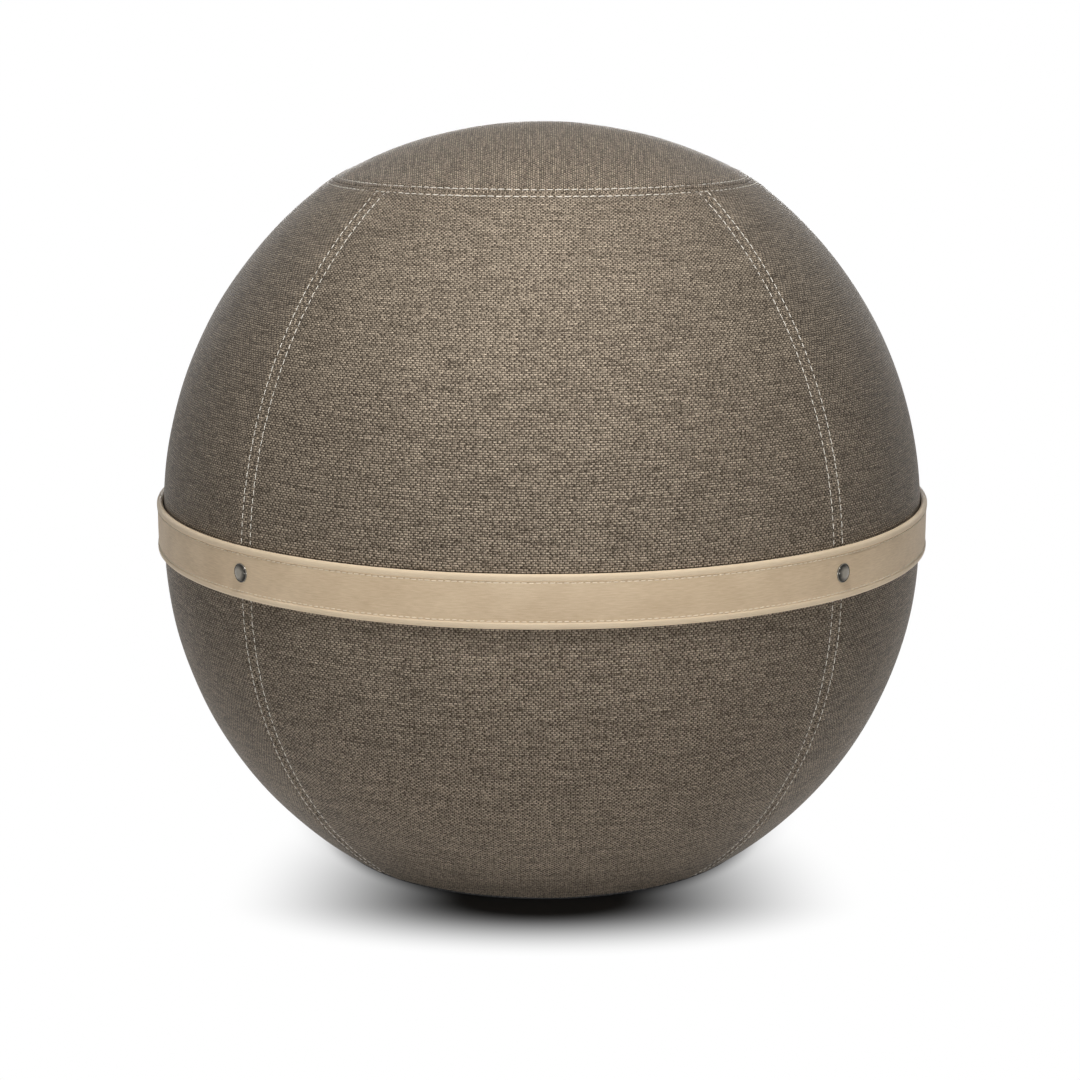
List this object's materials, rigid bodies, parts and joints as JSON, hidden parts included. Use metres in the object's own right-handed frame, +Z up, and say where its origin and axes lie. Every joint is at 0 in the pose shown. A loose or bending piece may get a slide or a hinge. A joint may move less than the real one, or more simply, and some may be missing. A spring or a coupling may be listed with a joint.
{
  "type": "sitting ball",
  "caption": "Round sitting ball: fabric panels sewn to a round top and a flat weighted base, a riveted belt around the middle, a zip at the back and an inflated bladder inside.",
  "frame": {"origin": "centre of the flat base, on the floor", "axes": "+Z up, the front faces -Y, the zip lies at the back right"},
  "size_m": [0.5592, 0.5592, 0.527],
  "materials": {
    "cover_cloth": "matte",
    "base_cloth": "matte",
    "seam_tape": "matte",
    "belt_leather": "satin",
    "belt_core": "matte",
    "belt_lining": "matte",
    "rivet_metal": "gloss",
    "zip_tape": "matte",
    "zip_teeth": "satin",
    "zip_metal": "gloss",
    "bladder_pvc": "satin",
    "valve_rubber": "matte",
    "plug_plastic": "gloss",
    "ballast_cloth": "matte",
    "ballast_sand": "matte"
  },
  "bodies": {
    "ball": {"cover_top_panel": "cover_cloth", "cover_front_panel": "cover_cloth", "cover_right_panel": "cover_cloth", "cover_back_panel": "cover_cloth", "cover_left_panel": "cover_cloth", "cover_base_panel": "base_cloth", "seam_tape_top": "seam_tape", "seam_tapes_side": "seam_tape", "belt_face": "belt_leather", "belt_core": "belt_core", "belt_lining": "belt_lining", "rivet_caps": "rivet_metal", "rivet_backs": "rivet_metal", "zip_tape_back": "zip_tape", "zip_tape_right": "zip_tape", "zip_teeth_back": "zip_teeth", "zip_teeth_right": "zip_teeth", "zip_stops": "zip_teeth", "bladder": "bladder_pvc", "valve_seat": "valve_rubber", "ballast_pouch_top": "ballast_cloth", "ballast_pouch_base": "ballast_cloth", "ballast_fill": "ballast_sand"},
    "zip_slider": {"zip_slider": "zip_metal"},
    "zip_pull": {"zip_pull": "zip_metal"},
    "valve_plug": {"valve_plug": "plug_plastic"}
  },
  "joints": [
    {"name": "zip_travel", "type": "hinge", "parent": "ball", "child": "zip_slider", "pos_m": [0, 0, 0.22901], "axis": [-0.7071, 0.7071, 0], "range_deg": [0, 37]},
    {"name": "zip_pull_swing", "type": "hinge", "parent": "zip_slider", "child": "zip_pull", "pos_m": [0.19512, 0.19512, 0.20015], "axis": [0.7071, -0.7071, 0], "range_deg": [-5, 160]},
    {"name": "valve_plug_pull", "type": "slide", "parent": "ball", "child": "valve_plug", "axis": [0, 0, -1], "range_m": [0, 0.017]}
  ]
}
